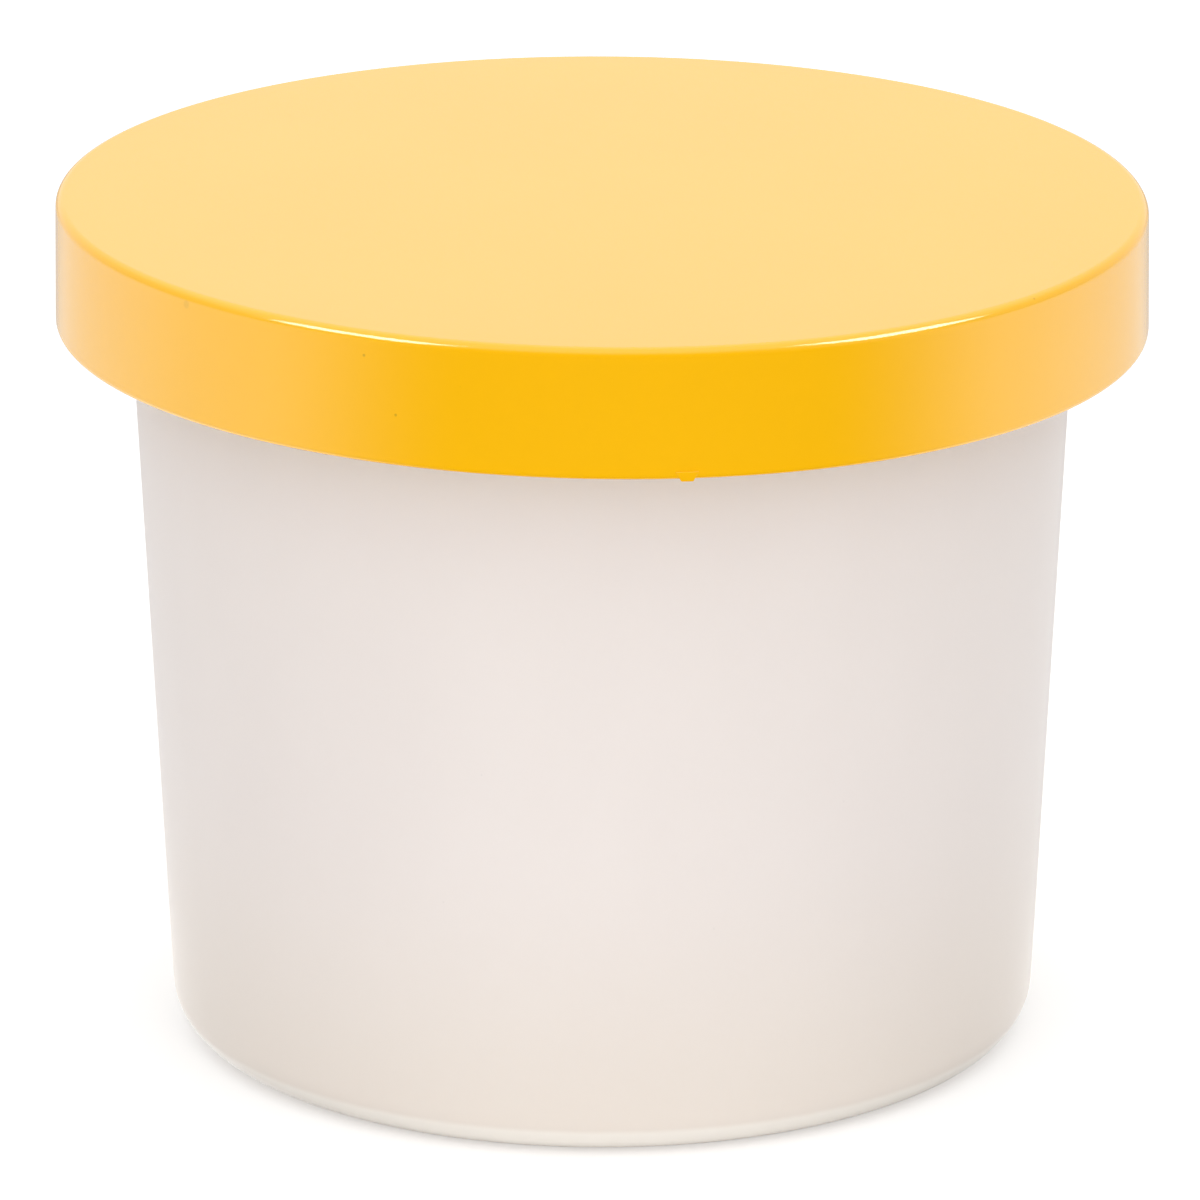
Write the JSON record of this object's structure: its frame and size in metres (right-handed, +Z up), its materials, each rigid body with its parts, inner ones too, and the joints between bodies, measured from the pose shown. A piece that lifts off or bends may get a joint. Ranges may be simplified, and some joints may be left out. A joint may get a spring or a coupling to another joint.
{
  "type": "paint cup with lid",
  "caption": "Round tapered cup for paint with a flat lift-off snap lid, frosted translucent cup and yellow lid.",
  "frame": {"origin": "centre of the cup's foot, on the surface that it stands on", "axes": "+Z up along the cup's axis, towards the lid; -Y is the front that the picture shows"},
  "size_m": [0.089, 0.089, 0.0702],
  "materials": {
    "frosted_plastic": "frosted translucent moulded plastic",
    "yellow_plastic": "satin moulded plastic"
  },
  "bodies": {
    "cup": {"cup": "frosted_plastic"},
    "lid": {"lid": "yellow_plastic"}
  },
  "joints": [
    {"name": "lid_lift", "type": "slide", "parent": "cup", "child": "lid", "axis": [0, 0, 1], "range_m": [0, 0.06]}
  ]
}
